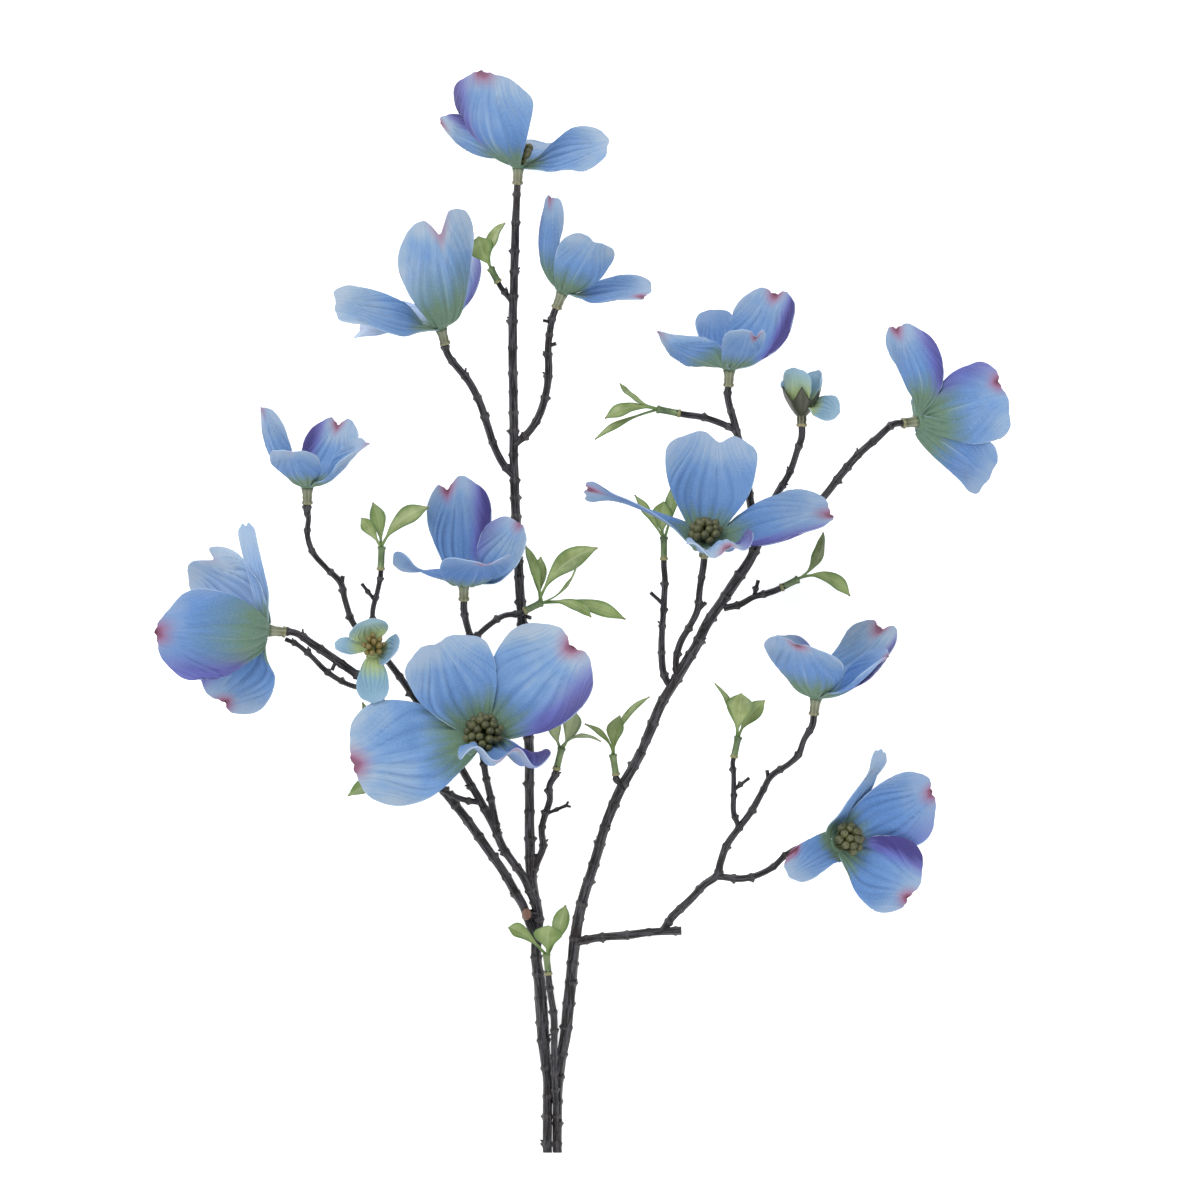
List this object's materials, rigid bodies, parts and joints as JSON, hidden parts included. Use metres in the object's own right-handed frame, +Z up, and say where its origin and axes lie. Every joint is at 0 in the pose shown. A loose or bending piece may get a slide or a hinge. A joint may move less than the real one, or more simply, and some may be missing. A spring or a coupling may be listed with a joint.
{
  "type": "artificial dogwood flower branch",
  "caption": "Artificial dogwood spray: open blue blooms with beaded centres, half-open blooms and green leaf sprigs on dark branching stems, lying on a surface.",
  "frame": {"origin": "centre of the spray's bounding box, on the surface that it lies on", "axes": "+Z up from the surface, +Y from the cut end of the stems towards the top bloom, +X to the right seen from above"},
  "size_m": [0.3878, 0.4902, 0.0966],
  "materials": {
    "petal": "matte woven cloth with fine veins",
    "small_petal": "matte woven cloth, green towards the base",
    "beads": "moulded, satin",
    "collar": "moulded, satin",
    "calyx": "moulded, satin",
    "leaf": "moulded, satin",
    "bark": "moulded bark texture"
  },
  "bodies": {
    "root": {"bloom_01_petals": "petal", "bloom_01_beads": "beads", "bloom_01_collar": "collar", "bloom_02_petals": "petal", "bloom_02_beads": "beads", "bloom_02_collar": "collar", "bloom_03_petals": "petal", "bloom_03_beads": "beads", "bloom_03_collar": "collar", "bloom_04_petals": "petal", "bloom_04_beads": "beads", "bloom_04_collar": "collar", "bloom_05_petals": "petal", "bloom_05_beads": "beads", "bloom_05_collar": "collar", "bloom_06_petals": "petal", "bloom_06_beads": "beads", "bloom_06_collar": "collar", "bloom_07_petals": "petal", "bloom_07_beads": "beads", "bloom_07_collar": "collar", "bloom_08_petals": "petal", "bloom_08_beads": "beads", "bloom_08_collar": "collar", "bloom_09_petals": "petal", "bloom_09_beads": "beads", "bloom_09_collar": "collar", "bloom_10_petals": "petal", "bloom_10_beads": "beads", "bloom_10_collar": "collar", "bloom_11_petals": "petal", "bloom_11_beads": "beads", "bloom_11_collar": "collar", "bloom_12_petals": "petal", "bloom_12_beads": "beads", "bloom_12_collar": "collar", "small_bloom_01_petals": "small_petal", "small_bloom_01_beads": "beads", "small_bloom_01_collar": "calyx", "small_bloom_02_petals": "small_petal", "small_bloom_02_beads": "beads", "small_bloom_02_collar": "calyx", "leaf_sprig_01": "leaf", "leaf_sprig_02": "leaf", "leaf_sprig_03": "leaf", "leaf_sprig_04": "leaf", "leaf_sprig_05": "leaf", "leaf_sprig_06": "leaf", "leaf_sprig_07": "leaf", "leaf_sprig_08": "leaf", "leaf_sprig_09": "leaf", "leaf_sprig_10": "leaf", "leaf_sprig_11": "leaf", "stem_centre": "bark", "branch_left": "bark", "branch_inner": "bark", "twig_middle": "bark", "stem_right": "bark", "stem_upper": "bark", "branch_low": "bark"}
  },
  "joints": []
}
